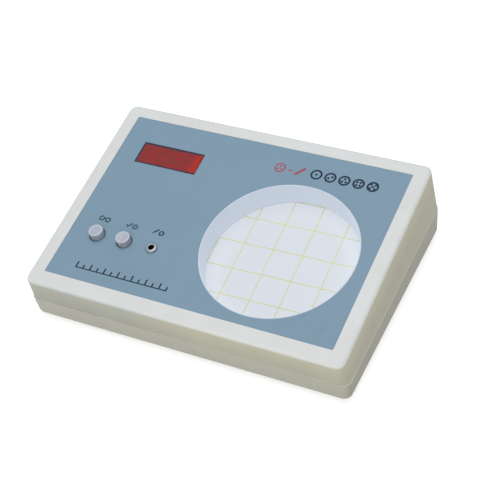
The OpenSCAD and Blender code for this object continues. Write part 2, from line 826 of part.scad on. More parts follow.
module capacitors()
    color([0.15, 0.18, 0.3]) for (p = capacitor_places) on_supply(p.x, p.y) {
        cylinder(d = capacitor_d, h = capacitor_h);
        cylinder(d = capacitor_d + 0.6, h = 2);
    }

module heat_sink()
    color([0.7, 0.7, 0.72]) on_supply(sink_x, 0) {
        block(sink.x, sink.y, sink.z);
        for (k = [-2 : 2]) translate([fin.x / 2, k * fin_pitch, 0]) block(fin.x, fin.y, sink.z);
    }

module mains_inlet()
    color([0.08, 0.08, 0.09]) on_rear(inlet_x, rear_row_up) difference() {
        union() {
            slab(inlet_w + 2 * inlet_border, inlet_h + 2 * inlet_border, bezel_t, inlet_border);
            translate([0, 0, -inlet_in]) block(inlet_w, inlet_h, inlet_in + 1);
        }
        translate([0, 0, bezel_t - socket_in]) linear_extrude(socket_in + 1) polygon([
            [-socket_w / 2, -socket_h / 2], [socket_w / 2, -socket_h / 2],
            [socket_w / 2, socket_h / 2 - socket_cut], [socket_w / 2 - socket_cut, socket_h / 2],
            [-socket_w / 2 + socket_cut, socket_h / 2], [-socket_w / 2, socket_h / 2 - socket_cut]
        ]);
    }

module inlet_pins()
    color("silver") on_rear(inlet_x, rear_row_up, bezel_t - socket_in)
        for (p = pin_places) translate([p.x, p.y, 0])
            block(pin_size.x, pin_size.y, socket_in - pin_recess);

module switch_frame()
    color([0.08, 0.08, 0.09]) on_rear(rocker_x, rear_row_up) difference() {
        union() {
            slab(switch_bezel.x, switch_bezel.y, switch_bezel.z, 1);
            translate([0, 0, -switch_body.z]) block(switch_body.x, switch_body.y, switch_body.z + 1);
            for (y = switch_tabs) translate([0, y, -switch_body.z - switch_tab.z])
                block(switch_tab.x, switch_tab.y, switch_tab.z + 1);
        }
        translate([0, 0, -12]) block(rocker_w + 0.8, rocker_l + 2.8, 20);
        translate([0, 0, -pivot_in]) rotate([0, 90, 0])
            cylinder(r = rocker_pin_d / 2 + pin_slack, h = switch_body.x + 2, center = true);
    }

// The rocker's side view: a shallow V on the outside and a wedge inside
module power_rocker()
    color([0.1, 0.1, 0.11]) on_rear(rocker_x, rear_row_up, -pivot_in) rotate([rocker_tilt, 0, 0]) {
        rotate([90, 0, 90]) translate([0, 0, -rocker_w / 2]) linear_extrude(rocker_w) polygon([
            [-rocker_l / 2, rocker_crown[2]], [-rocker_l / 4, rocker_crown[1]], [0, rocker_crown[0]],
            [rocker_l / 4, rocker_crown[1]], [rocker_l / 2, rocker_crown[2]],
            [rocker_l / 2, rocker_heel], [rocker_root.x, -rocker_root.y],
            [-rocker_root.x, -rocker_root.y], [-rocker_l / 2, rocker_heel]
        ]);
        rotate([0, 90, 0]) cylinder(d = rocker_pin_d, h = switch_body.x - 0.6, center = true);
    }

module fuse_holder()
    color([0.08, 0.08, 0.09]) on_rear(fuse_x, rear_row_up) difference() {
        union() {
            cylinder(d = fuse_bezel_d, h = bezel_t);
            translate([0, 0, -fuse_in]) cylinder(d = fuse_body_d, h = fuse_in + 1);
        }
        translate([0, 0, -fuse_in + 1.5]) cylinder(d = fuse_bore_d, h = fuse_in + bezel_t);
    }

fuse_plug_in = 4;
fuse_grip = 4;
fuse_d = 5.2;
fuse_l = 20;
cap_slot = [9.5, 1.2, 1.5];

module fuse_cap()
    color([0.1, 0.1, 0.11]) on_rear(fuse_x, rear_row_up) difference() {
        union() {
            translate([0, 0, -fuse_plug_in])
                cylinder(r = fuse_bore_d / 2 - pin_slack, h = fuse_plug_in + bezel_t + cap_gap + 1);
            translate([0, 0, bezel_t + cap_gap]) cylinder(d = cap_d, h = cap_h);
        }
        translate([0, 0, -fuse_plug_in - 1]) cylinder(d = fuse_d + 0.1, h = fuse_grip + 1);
        translate([0, 0, cap_proud - cap_slot.z]) block(cap_slot.x, cap_slot.y, 2 * cap_slot.z);
    }

module fuse_link()
    color([0.85, 0.85, 0.8]) on_rear(fuse_x, rear_row_up, -fuse_l) cylinder(d = fuse_d, h = fuse_l);

module rubber_feet()
    color([0.15, 0.15, 0.15]) feet_places() union() {
        translate([0, 0, -foot_h]) cylinder(d1 = foot_d - 2, d2 = foot_d, h = foot_h);
        cylinder(d = foot_d, h = 1);
    }

module case_screws()
    color("silver") for (y = [post_front, post_rear]) at_posts(y)
        translate([0, 0, seam_z(y) - post_web])
            screw(case_head_d, case_head_h, case_screw_d, post_web + case_bite);

upper_shell();
lower_shell();
front_panel();
display_window();
reset_button();
check_button();
reset_spring();
check_spring();
push_switches();
jack_nut();
probe_jack();
well_ring();
grid_plate();
plate_screws();
digit_modules();
control_board();
board_chips();
buzzer();
board_screws();
lamp_tube();
lamp_caps();
lamp_holders();
lamp_tray();
starter();
starter_base();
choke();
transformer_core();
transformer_coil();
supply_board();
capacitors();
heat_sink();
mains_inlet();
inlet_pins();
fuse_holder();
fuse_cap();
fuse_link();
switch_frame();
power_rocker();
rubber_feet();
case_screws();
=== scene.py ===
import math

import bpy
from mathutils import Matrix, Vector


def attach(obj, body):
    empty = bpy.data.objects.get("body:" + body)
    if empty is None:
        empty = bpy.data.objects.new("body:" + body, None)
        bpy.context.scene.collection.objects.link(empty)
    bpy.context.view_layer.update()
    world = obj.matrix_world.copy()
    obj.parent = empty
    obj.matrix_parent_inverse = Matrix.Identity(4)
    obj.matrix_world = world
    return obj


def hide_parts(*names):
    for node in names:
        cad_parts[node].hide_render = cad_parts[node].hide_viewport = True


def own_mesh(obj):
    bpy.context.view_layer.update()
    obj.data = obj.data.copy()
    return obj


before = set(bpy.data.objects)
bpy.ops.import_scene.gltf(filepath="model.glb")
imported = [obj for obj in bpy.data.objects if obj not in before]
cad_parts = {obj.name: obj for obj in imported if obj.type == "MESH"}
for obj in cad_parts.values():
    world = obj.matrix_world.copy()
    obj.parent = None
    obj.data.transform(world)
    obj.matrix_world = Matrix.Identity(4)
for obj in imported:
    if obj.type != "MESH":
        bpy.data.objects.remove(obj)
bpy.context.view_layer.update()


# Upper housing half: a moulded box of ivory plastic, 3 mm thick, whose top face slopes to the front.
# Its walls flare down to the seam, a hair inside the lower half, and the top rim is rounded all round.
# The recess in its top carries the printed panel, and the holes are cut through the recessed deck.
# Lengths are in millimetres. DECK and SEAM are frames that lie on the top face and on the seam, with
# their origins at the front, y up the slope and z out of the face.
MM = 0.001
WALL = 3
CORNER = 5.3
RIM = 2.05
FRONT = -81.866
SLOPE = math.radians(8.6)
SEAM_SLOPE = math.radians(2.2)
DECK = Matrix.Translation((0, FRONT * MM, 35.5 * MM)) @ Matrix.Rotation(SLOPE, 4, "X")
SEAM = Matrix.Translation((0, -80.066 * MM, 17 * MM)) @ Matrix.Rotation(SEAM_SLOPE, 4, "X")
DECK_LENGTH = 154
DECK_UNDER = -3.9
SEAM_LENGTH = 154.78
HALF_TOP = 109
HALF_SEAM = 110.7
STEP = 0.5


def shift(x, y, z=0.0):
    return Matrix.Translation(Vector((x, y, z)) * MM)


def only(obj):
    bpy.ops.object.select_all(action="DESELECT")
    obj.select_set(True)
    bpy.context.view_layer.objects.active = obj
    return obj


def named(name):
    """Names the primitive that was just added, and its mesh."""
    obj = bpy.context.object
    obj.name = obj.data.name = name
    return only(obj)


def place(obj, matrix):
    """Moves the mesh itself, so that the object stays at the origin."""
    only(obj)
    obj.matrix_world = matrix @ obj.matrix_world
    bpy.ops.object.transform_apply(location=True, rotation=True, scale=True)
    return obj


def block(name, size, middle):
    bpy.ops.object.select_all(action="DESELECT")
    bpy.ops.mesh.primitive_cube_add(size=1)
    sized = Matrix.Diagonal((size[0] * MM, size[1] * MM, size[2] * MM, 1))
    return place(named(name), shift(*middle) @ sized)


def rod(name, radius, low, high, x=0.0, y=0.0, sides=64):
    bpy.ops.object.select_all(action="DESELECT")
    bpy.ops.mesh.primitive_cylinder_add(vertices=sides, radius=radius * MM, depth=(high - low) * MM)
    return place(named(name), shift(x, y, (low + high) / 2))


def tapered(name, low, high):
    """A cube pulled to two rectangles, each given as its frame, half width, front, back and height."""
    bpy.ops.object.select_all(action="DESELECT")
    bpy.ops.mesh.primitive_cube_add(size=2)
    obj = named(name)
    for v in obj.data.vertices:
        base, half, front, back, height = high if v.co.z > 0 else low
        x = half if v.co.x > 0 else -half
        y = back if v.co.y > 0 else front
        v.co = base @ (Vector((x, y, height)) * MM)
    return obj


def lathe(name, outline, sides=64):
    """Turns a closed outline of radius and height about the upright axis."""
    bpy.ops.object.select_all(action="DESELECT")
    bpy.ops.mesh.primitive_circle_add(vertices=len(outline), radius=1, fill_type="NOTHING")
    obj = named(name)
    for v, (radius, height) in zip(obj.data.vertices, outline):
        v.co = (radius * MM, 0, height * MM)
    bpy.ops.object.mode_set(mode="EDIT")
    bpy.ops.mesh.select_all(action="SELECT")
    bpy.ops.mesh.spin(steps=sides, angle=math.tau, center=(0, 0, 0), axis=(0, 0, 1))
    bpy.ops.mesh.select_all(action="SELECT")
    bpy.ops.mesh.remove_doubles(threshold=1e-6)
    bpy.ops.mesh.dissolve_degenerate(threshold=1e-7)
    bpy.ops.mesh.delete_loose()
    bpy.ops.mesh.select_all(action="SELECT")
    bpy.ops.mesh.normals_make_consistent(inside=False)
    bpy.ops.object.mode_set(mode="OBJECT")
    return obj


def pick(obj, kind, test):
    """Opens edit mode with the edges selected whose ends pass the test, or faces by middle and normal."""
    only(obj)
    bpy.ops.object.mode_set(mode="EDIT")
    bpy.ops.mesh.select_mode(type=kind)
    bpy.ops.mesh.select_all(action="DESELECT")
    bpy.ops.object.mode_set(mode="OBJECT")
    spots = [v.co for v in obj.data.vertices]
    if kind == "EDGE":
        for e in obj.data.edges:
            e.select = test(spots[e.vertices[0]], spots[e.vertices[1]])
    else:
        for f in obj.data.polygons:
            f.select = test(f.center, f.normal)
    bpy.ops.object.mode_set(mode="EDIT")


def round_off(obj, test, radius, segments):
    """Rounds the edges that pass the test."""
    pick(obj, "EDGE", test)
    bpy.ops.mesh.bevel(offset=radius * MM, segments=segments, profile=0.5, affect="EDGES")
    bpy.ops.object.mode_set(mode="OBJECT")
    return obj


def upright(a, b):
    return abs(a.z - b.z) > 0.6 * (a - b).length


def both(test):
    """An edge passes where both of its ends do."""
    return lambda a, b: test(a) and test(b)


def combine(obj, tool, operation):
    only(obj)
    step = obj.modifiers.new("step", "BOOLEAN")
    step.operation = operation
    step.solver = "EXACT"
    step.object = tool
    bpy.ops.object.modifier_apply(modifier=step.name)
    bpy.data.objects.remove(tool)
    return obj


def cut(obj, tool):
    return combine(obj, tool, "DIFFERENCE")


def add(obj, tool):
    return combine(obj, tool, "UNION")


def finish_mesh(obj, material, angle=35, weighted=True):
    """Smooth shading on the curves, flat shading on the flats, and one material."""
    only(obj)
    bpy.ops.object.mode_set(mode="EDIT")
    bpy.ops.mesh.select_mode(type="VERT")
    bpy.ops.mesh.select_all(action="SELECT")
    bpy.ops.mesh.remove_doubles(threshold=1e-6)
    bpy.ops.mesh.delete_loose()
    bpy.ops.object.mode_set(mode="OBJECT")
    bpy.ops.object.shade_smooth_by_angle(angle=math.radians(angle))
    if weighted:
        even = obj.modifiers.new("even", "WEIGHTED_NORMAL")
        even.keep_sharp = True
        bpy.ops.object.modifier_apply(modifier=even.name)
    obj.data.materials.clear()
    obj.data.materials.append(material)
    return obj


def tone(red, green, blue):
    """A colour as it is seen, turned into the linear one that a shader takes."""
    def linear(c):
        c /= 255
        return c / 12.92 if c <= 0.04045 else ((c + 0.055) / 1.055) ** 2.4
    return (linear(red), linear(green), linear(blue), 1.0)


def node(tree, kind, inputs=None, **settings):
    """Adds one shader node: inputs are set by value, or linked where a socket is given."""
    made = tree.nodes.new(kind)
    for key, value in settings.items():
        setattr(made, key, value)
    for key, value in (inputs or {}).items():
        if isinstance(value, bpy.types.NodeSocket):
            tree.links.new(value, made.inputs[key])
        else:
            made.inputs[key].default_value = value
    return made


def group(name, inputs, outputs):
    """An empty node group with named sockets, and its input and output nodes."""
    tree = bpy.data.node_groups.new(name, "ShaderNodeTree")
    for socket, kind, value in inputs:
        made = tree.interface.new_socket(name=socket, in_out="INPUT", socket_type="NodeSocket" + kind)
        made.default_value = value
    for socket, kind in outputs:
        tree.interface.new_socket(name=socket, in_out="OUTPUT", socket_type="NodeSocket" + kind)
    return tree, tree.nodes.new("NodeGroupInput").outputs, tree.nodes.new("NodeGroupOutput")


def mix(tree, factor, first, second, blend="MIX"):
    made = node(tree, "ShaderNodeMix", {0: factor, 6: first, 7: second}, data_type="RGBA")
    made.blend_type = blend
    return made.outputs[2]


def math_node(tree, operation, first, second=0.0):
    return node(tree, "ShaderNodeMath", {0: first, 1: second}, operation=operation).outputs[0]


def ramp(tree, value, start, end, top=1.0, **settings):
    """Nothing where the value is at the start, and the top where it is at the end or past it."""
    inputs = {"Value": value, "From Min": start, "From Max": end, "To Max": top}
    return node(tree, "ShaderNodeMapRange", inputs, **settings).outputs["Result"]


def spot_in(tree):
    """The place on the piece, in its own coordinates."""
    return node(tree, "ShaderNodeTexCoord").outputs["Object"]


def parts_of(tree, vector):
    return node(tree, "ShaderNodeSeparateXYZ", {0: vector}).outputs


# Skin of a moulded piece: soft cloudy patches in its colour, a fine satin grain, and a tint along its edges
# that is rubbed wear on some pieces and a painted highlight on others.
# An edge is found where a softened normal turns away from the true one.
SKIN, skin_in, skin_out = group(
    "moulded_skin",
    [("Colour", "Color", (0.8, 0.8, 0.8, 1)), ("Patch Colour", "Color", (0.7, 0.7, 0.7, 1)),
     ("Patch Amount", "Float", 0.5), ("Patch Scale", "Float", 60.0), ("Grain Scale", "Float", 2500.0),
     ("Edge Wear And Highlight Colour", "Color", (0.9, 0.9, 0.9, 1)), ("Edge Wear And Highlight Amount", "Float", 0.3),
     ("Roughness", "Float", 0.5)],
    [("Colour", "Color"), ("Roughness", "Float"), ("Height", "Float")],
)
where = spot_in(SKIN)
cloudy = {"Vector": where, "Scale": skin_in["Patch Scale"], "Detail": 3.0, "Roughness": 0.55}
patches = ramp(SKIN, node(SKIN, "ShaderNodeTexNoise", cloudy).outputs["Fac"], 0.35, 0.68)
fine = {"Vector": where, "Scale": skin_in["Grain Scale"], "Detail": 2.0}
grain = node(SKIN, "ShaderNodeTexNoise", fine).outputs["Fac"]
soft = node(SKIN, "ShaderNodeBevel", {"Radius": 0.0006}, samples=4).outputs["Normal"]
true = node(SKIN, "ShaderNodeNewGeometry").outputs["Normal"]
facing = node(SKIN, "ShaderNodeVectorMath", {0: soft, 1: true}, operation="DOT_PRODUCT").outputs["Value"]
edge = math_node(SKIN, "MULTIPLY", ramp(SKIN, facing, 0.99, 0.8), skin_in["Edge Wear And Highlight Amount"])
patchy = math_node(SKIN, "MULTIPLY", patches, skin_in["Patch Amount"])
body = mix(SKIN, patchy, skin_in["Colour"], skin_in["Patch Colour"])
SKIN.links.new(mix(SKIN, edge, body, skin_in["Edge Wear And Highlight Colour"]), skin_out.inputs["Colour"])
rough = math_node(SKIN, "ADD", skin_in["Roughness"], math_node(SKIN, "MULTIPLY", grain, 0.08))
SKIN.links.new(rough, skin_out.inputs["Roughness"])
SKIN.links.new(grain, skin_out.inputs["Height"])


def shader(material, **settings):
    """The material's own shader, with its constant sockets set directly."""
    bsdf = material.node_tree.nodes["Principled BSDF"]
    for key, value in settings.items():
        bsdf.inputs[key.replace("_", " ")].default_value = value
    return bsdf


def moulded(name, colour, patch, patch_amount=0.5, patch_scale=60.0, grain=2500.0, bump=0.00003,
            edge_wear_and_highlight=None, edge_wear_and_highlight_amount=0.3, roughness=0.5, **settings):
    """A plastic, rubber, paint or metal with the shared skin."""
    material = bpy.data.materials.new(name)
    material.use_nodes = True
    tree = material.node_tree
    bsdf = shader(material, **settings)
    skin = node(tree, "ShaderNodeGroup", node_tree=SKIN)
    for key, value in (("Colour", colour), ("Patch Colour", patch), ("Patch Amount", patch_amount),
                       ("Patch Scale", patch_scale), ("Grain Scale", grain), ("Edge Wear And Highlight Colour", edge_wear_and_highlight or colour),
                       ("Edge Wear And Highlight Amount", edge_wear_and_highlight_amount), ("Roughness", roughness)):
        skin.inputs[key].default_value = value
    tree.links.new(skin.outputs["Colour"], bsdf.inputs["Base Color"])
    tree.links.new(skin.outputs["Roughness"], bsdf.inputs["Roughness"])
    grained = {"Height": skin.outputs["Height"], "Strength": 0.6, "Distance": bump}
    tree.links.new(node(tree, "ShaderNodeBump", grained).outputs["Normal"], bsdf.inputs["Normal"])
    return material


def colour_of(material):
    """The material's nodes, its shader's colour socket, and the colour that feeds it so far."""
    base = material.node_tree.nodes["Principled BSDF"].inputs["Base Color"]
    return material.node_tree, base, base.links[0].from_socket


# Depth of a place under the sloping top face, in metres, for tints that follow that face
UNDER_TOP, _, under_out = group("under_the_top", [], [("Depth", "Float")])
corner = {0: spot_in(UNDER_TOP), 1: DECK.to_translation()}
from_corner = node(UNDER_TOP, "ShaderNodeVectorMath", corner, operation="SUBTRACT").outputs["Vector"]
sunk = {0: from_corner, 1: (0, math.sin(SLOPE), -math.cos(SLOPE))}
depth = node(UNDER_TOP, "ShaderNodeVectorMath", sunk, operation="DOT_PRODUCT").outputs["Value"]
UNDER_TOP.links.new(depth, under_out.inputs["Depth"])


def depth_in(tree):
    return node(tree, "ShaderNodeGroup", node_tree=UNDER_TOP).outputs["Depth"]


def with_sides(material, low, high, painted_rim_light, flank_shade):
    """Tints the walls: a painted highlight on the rounded rim, then yellower and darker walls whose darkening
    is painted shade that deepens further down, and the flanks tinted once more, as painted shade where they
    are darkened.
    """
    tree, base, skin = colour_of(material)
    normal = parts_of(tree, node(tree, "ShaderNodeTexCoord").outputs["Normal"])
    under = depth_in(tree)
    near_top = ramp(tree, under, 2.8 * MM, 1.2 * MM)
    tilted = ramp(tree, normal["Z"], 0.98, 0.6)
    body = mix(tree, math_node(tree, "MULTIPLY", near_top, tilted), skin, painted_rim_light)
    wall = mix(tree, ramp(tree, under, 2 * MM, 14 * MM), high, low)
    sideways = ramp(tree, math_node(tree, "ABSOLUTE", normal["X"]), 0.5, 0.95)
    wall = mix(tree, sideways, wall, mix(tree, 1.0, wall, flank_shade, "MULTIPLY"))
    below = ramp(tree, under, 0.7 * MM, 3.4 * MM)
    turned = ramp(tree, normal["Z"], 0.9, 0.45)
    tree.links.new(mix(tree, math_node(tree, "MULTIPLY", turned, below), body, wall, "MULTIPLY"), base)


ivory = moulded("ivory_plastic", tone(214, 217, 218), tone(207, 210, 209), patch_amount=0.6,
                patch_scale=55.0, grain=1800.0, edge_wear_and_highlight=tone(219, 221, 219), edge_wear_and_highlight_amount=0.25,
                roughness=0.42, Specular_IOR_Level=0.4)
# On this plastic the rim's pale tint is a painted highlight, and the walls' darkening is painted shade.
with_sides(ivory, low=(0.855, 0.813, 0.66, 1), high=(0.998, 0.957, 0.72, 1),
           painted_rim_light=tone(233, 236, 234), flank_shade=(1, 1, 0.97, 1))
# Painted shade: the front wall is a little darker towards its left end
tree, base, skin = colour_of(ivory)
coordinates = node(tree, "ShaderNodeTexCoord").outputs
forward = ramp(tree, parts_of(tree, coordinates["Normal"])["Y"], -0.5, -0.9)
to_left = ramp(tree, parts_of(tree, coordinates["Object"])["X"], 12 * MM, -42 * MM)
painted_left_shade = mix(tree, 1.0, skin, (0.855, 0.89, 0.96, 1), "MULTIPLY")
tree.links.new(mix(tree, math_node(tree, "MULTIPLY", forward, to_left), skin, painted_left_shade), base)

to_deck = DECK.inverted()
to_seam = SEAM.inverted()
at_seam = both(lambda spot: abs((to_seam @ spot).z) < 0.1 * MM)
upper = tapered("upper_shell_skin", (SEAM, HALF_SEAM - STEP, STEP, SEAM_LENGTH, 0),
                (DECK, HALF_TOP, 0, DECK_LENGTH, 0))
round_off(upper, upright, CORNER, 9)
round_off(upper, both(lambda spot: (to_deck @ spot).z > -0.2 * MM), RIM, 6)
round_off(upper, at_seam, 0.07, 2)
space = tapered("space", (SEAM, HALF_SEAM - WALL, WALL, SEAM_LENGTH - WALL, -1),
                (DECK, HALF_TOP - WALL, WALL, DECK_LENGTH - WALL, DECK_UNDER))
cut(upper, round_off(space, upright, CORNER - WALL, 4))
rebate = block("rebate", (219, 152.4, 4.3), (0, SEAM_LENGTH / 2, 0.15))
cut(upper, place(round_off(rebate, upright, 4.1, 4), SEAM))

CASE_POST_X = 100.5
CASE_POST_Y = (12, 138.27)
for x in (-CASE_POST_X, CASE_POST_X):
    for y, top, seam in zip(CASE_POST_Y, (33.4, 52.4), (15.4, 20.2)):
        post = rod("post", 4.5, seam + 2, top + 2, x, y + FRONT, 32)
        cut(post, rod("thread", 1.55, seam + 1, seam + 13, x, y + FRONT, 16))
        add(upper, post)
THREAD = 1.3
WELL = (39.6, 68.1)
WELL_FLOOR = -17.9
PLATE_POST = 50.5
for x in (WELL[0] - PLATE_POST, WELL[0] + PLATE_POST):
    for y in (WELL[1] - PLATE_POST, WELL[1] + PLATE_POST):
        post = rod("plate_post", 3.5, WELL_FLOOR, -1.9, x, y, 24)
        add(upper, place(cut(post, rod("thread", THREAD, -19, -8.9, x, y, 12)), DECK))
for x in (-92.2, -32.2):
    for y in (40, 126):
        post = rod("board_post", 3, -12.2, -2.7, x, y, 24)
        add(upper, place(cut(post, rod("thread", THREAD, -13, -6.2, x, y, 12)), DECK))

THROUGH = (-6, 2)
BUTTONS = ((-79.2, 46.2), (-59.2, 46.2))
BUTTON_HOLE = 5.5
JACK = (-39.2, 46.2)
JACK_HOLE = 3.2
WINDOW = (-61.5, 116.7)
WINDOW_SEAT = (45.4, 17.4)
recess = block("recess", (198.46, 134.06, 4), (0, 77.5, 0.6))
cut(upper, place(round_off(recess, upright, 0.8, 3), DECK))
cut(upper, place(rod("well_hole", 52.2, *THROUGH, *WELL, 128), DECK))
cut(upper, place(rod("flange_seat", 55.6, -2.6, 2, *WELL, 128), DECK))
cut(upper, place(block("window_seat", (*WINDOW_SEAT, 5), (*WINDOW, -0.4)), DECK))
cut(upper, place(block("window_hole", (42, 14, 8), (*WINDOW, -4)), DECK))
for spot in BUTTONS:
    cut(upper, place(rod("button_hole", BUTTON_HOLE, *THROUGH, *spot), DECK))
cut(upper, place(rod("jack_hole", JACK_HOLE, *THROUGH, *JACK), DECK))

REAR_ROW = 17
INLET_X, FUSE_X, SWITCH_X = 50, -8, -50


def rear_place(x):
    """The frame of a connector at x on the leaning rear wall: to the right from behind, up, and out."""
    facing_back = Matrix.Translation((x * MM, 74.59 * MM, 23.24 * MM)) @ Matrix.Rotation(math.pi, 4, "Z")
    return facing_back @ Matrix.Rotation(math.radians(90 - 6.658), 4, "X")


cut(upper, place(block("inlet_hole", (27.4, 20, 12), (0, REAR_ROW, -1)), rear_place(INLET_X)))
cut(upper, place(block("switch_hole", (13.4, 21.6, 12), (0, REAR_ROW, -1)), rear_place(SWITCH_X)))
cut(upper, place(rod("fuse_hole", 6, -7, 5, 0, REAR_ROW, 48), rear_place(FUSE_X)))
finish_mesh(upper, ivory, 30)
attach(upper, "housing")
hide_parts("upper_shell")


# Lower housing half: a shallow tray of the same plastic, slightly warmer, with a lip inside the seam.
# Its bottom rim is rounded, slots in the floor let the lamp's heat out, and four counterbored posts
# take the screws that hold the halves together.
# Painted light on this plastic: its edges are tinted bright at full strength as a painted highlight, most of
# all along the seam, and its walls and flanks are darkened as painted shade.
ivory_base = moulded("ivory_base_plastic", tone(232, 231, 220), tone(224, 222, 211), patch_amount=0.6,
                     patch_scale=55.0, grain=1800.0, edge_wear_and_highlight=tone(250, 247, 230), edge_wear_and_highlight_amount=1.0,
                     roughness=0.45, Specular_IOR_Level=0.4)
with_sides(ivory_base, low=(0.73, 0.74, 0.72, 1), high=(0.75, 0.75, 0.71, 1),
           painted_rim_light=tone(232, 230, 217), flank_shade=(0.79, 0.78, 0.77, 1))
LEVEL = Matrix.Identity(4)
FLOOR = 2
HALF_BASE = 109.7
BASE_FRONT, BASE_BACK = -79.066, 73.602
lower = tapered("lower_shell_skin", (LEVEL, HALF_BASE, BASE_FRONT, BASE_BACK, FLOOR),
                (SEAM, HALF_SEAM, 0, SEAM_LENGTH, 0))
round_off(lower, upright, CORNER, 9)
round_off(lower, both(lambda spot: spot.z < (FLOOR + 0.1) * MM), 3.3, 6)
round_off(lower, at_seam, 0.2, 2)
space = tapered("space", (LEVEL, HALF_BASE - WALL, BASE_FRONT + WALL, BASE_BACK - WALL, FLOOR + WALL),
                (SEAM, HALF_SEAM - WALL, WALL, SEAM_LENGTH - WALL, 1))
cut(lower, round_off(space, upright, CORNER - WALL, 4))
lip = block("lip", (218.6, 151.98, 3.6), (0, SEAM_LENGTH / 2, 0.2))
lip = place(round_off(lip, upright, 3.9, 4), SEAM)
hollow = block("hollow", (215, 148.4, 12), (0, SEAM_LENGTH / 2, 0))
add(lower, cut(lip, place(round_off(hollow, upright, 2.1, 4), SEAM)))
for x in (-CASE_POST_X, CASE_POST_X):
    for y, seam in zip(CASE_POST_Y, (17.4, 22.25)):
        add(lower, rod("post", 5, 3.5, seam, x, y + FRONT, 32))
        cut(lower, rod("clearance", 1.7, -1, seam + 2, x, y + FRONT, 24))
        cut(lower, rod("counterbore", 3.2, -1, seam - 4, x, y + FRONT, 32))
FEET = [(x, y + FRONT) for x in (-84, 84) for y in (22, 130.27)]
for spot in FEET:
    cut(lower, rod("foot_seat", 6.2, 0, 3, *spot, 48))
for x in (-44.5, -6.5):
    for y in (25.59, 53.59):
        post = rod("supply_post", 3, 4.5, 10, x, y, 24)
        add(lower, cut(post, rod("thread", THREAD, 5.5, 11, x, y, 12)))
VENT_PITCH, VENT_WIDTH, VENT_LENGTH = 7, 3, 26
for middle, y, count in ((-80, 93.46 + FRONT, 5), (49, 35 + FRONT, 9)):
    for k in range(count):
        x = middle + (k - (count - 1) / 2) * VENT_PITCH
        vent = block("vent", (VENT_WIDTH, VENT_LENGTH, 9), (x, y, 3))
        for end in (-VENT_LENGTH / 2, VENT_LENGTH / 2):
            vent = add(vent, rod("vent_end", VENT_WIDTH / 2, -1.5, 7.5, x, y + end, 24))
        cut(lower, vent)
finish_mesh(lower, ivory_base, 30)
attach(lower, "housing")
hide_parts("lower_shell")


# Front panel: a flat sheet in the recess of the top face, printed matt grey-blue from edge to edge.
# It is punched for the well, the window, the two buttons and the socket, and glued down.
PANEL_CORNER = (-99.2, 10.5)
PANEL = DECK @ shift(*PANEL_CORNER)
SHEET = (198.4, 134, 1)
SHEET_FACE = -0.4


def on_panel(spot):
    return spot[0] - PANEL_CORNER[0], spot[1] - PANEL_CORNER[1]


panel_blue = moulded("panel_blue_print", tone(122, 149, 170), tone(118, 146, 166), patch_amount=0.7,
                     patch_scale=28.0, grain=3200.0, bump=0.00001, edge_wear_and_highlight=tone(150, 172, 188), edge_wear_and_highlight_amount=0.25,
                     roughness=0.5, Specular_IOR_Level=0.3)
tree, base, skin = colour_of(panel_blue)
for x, y, size in ((171.6, 17.3, 5.0), (187, 11, 3.5)):
    spot = PANEL @ (Vector((x, y, SHEET_FACE)) * MM)
    away = node(tree, "ShaderNodeVectorMath", {0: spot_in(tree), 1: spot}, operation="DISTANCE")
    mark = ramp(tree, away.outputs["Value"], size * MM, 0.5 * MM, top=0.35, interpolation_type="SMOOTHSTEP")
    skin = mix(tree, mark, skin, tone(104, 128, 168))
tree.links.new(skin, base)

sheet = block("front_panel_sheet", SHEET, (SHEET[0] / 2, SHEET[1] / 2, SHEET_FACE - SHEET[2] / 2))
round_off(sheet, upright, 0.8, 3)
cut(sheet, rod("well_hole", 50.8, -4, 2, *on_panel(WELL), 160))
cut(sheet, block("window_hole", (*WINDOW_SEAT, 6), (*on_panel(WINDOW), 0)))
for spot in BUTTONS:
    cut(sheet, rod("button_hole", BUTTON_HOLE, -4, 2, *on_panel(spot)))
cut(sheet, rod("jack_hole", JACK_HOLE, -4, 2, *on_panel(JACK)))
round_off(sheet, both(lambda spot: spot.z > (SHEET_FACE - 0.01) * MM), 0.12, 2)
finish_mesh(place(sheet, PANEL), panel_blue, 30)
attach(sheet, "housing")
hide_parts("front_panel")


# Printed signs on the panel: plain pictures in a thin layer of dark and red ink.
# Each control has a pair: a turning arrow, a tick or a pen, beside a dish as it is left by that control.
# Places are millimetres from the panel's front left corner.
INK = 0.03
INK_UNDER = -0.41
ink_dark = moulded("dark_ink", tone(22, 40, 62), tone(32, 52, 74), patch_scale=300.0, grain=3000.0,
                   bump=0.00001, roughness=0.6, Specular_IOR_Level=0.2)
ink_red = moulded("red_ink", tone(162, 66, 84), tone(172, 80, 96), patch_scale=300.0, grain=3000.0,
                  bump=0.00001, roughness=0.6, Specular_IOR_Level=0.2)


def ink_ring(x, y, radius, line, sides=40):
    ring = rod("ring", radius, INK_UNDER, INK_UNDER + INK, x, y, sides)
    return cut(ring, rod("inside", radius - line, INK_UNDER - 1, INK_UNDER + 1, x, y, sides))


def ink_bar(x, y, length, line, angle):
    bar = block("bar", (length, line, INK), (0, 0, INK_UNDER + INK / 2))
    return place(bar, shift(x, y) @ Matrix.Rotation(math.radians(angle), 4, "Z"))


def ink_dot(x, y, radius, sides=20):
    return rod("dot", radius, INK_UNDER, INK_UNDER + INK, x, y, sides)


def ink_point(x, y, radius, angle):
    """A small filled triangle whose corner points along the angle."""
    point = rod("point", radius, INK_UNDER, INK_UNDER + INK, 0, 0, 3)
    return place(point, shift(x, y) @ Matrix.Rotation(math.radians(angle - 90), 4, "Z"))


def joined(shapes):
    whole = shapes[0]
    for shape in shapes[1:]:
        whole = add(whole, shape)
    return whole


def printed(name, shapes, material):
    sign = joined(shapes)
    sign.name = sign.data.name = name
    finish_mesh(place(sign, PANEL), material, 30, weighted=False)
    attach(sign, "housing")


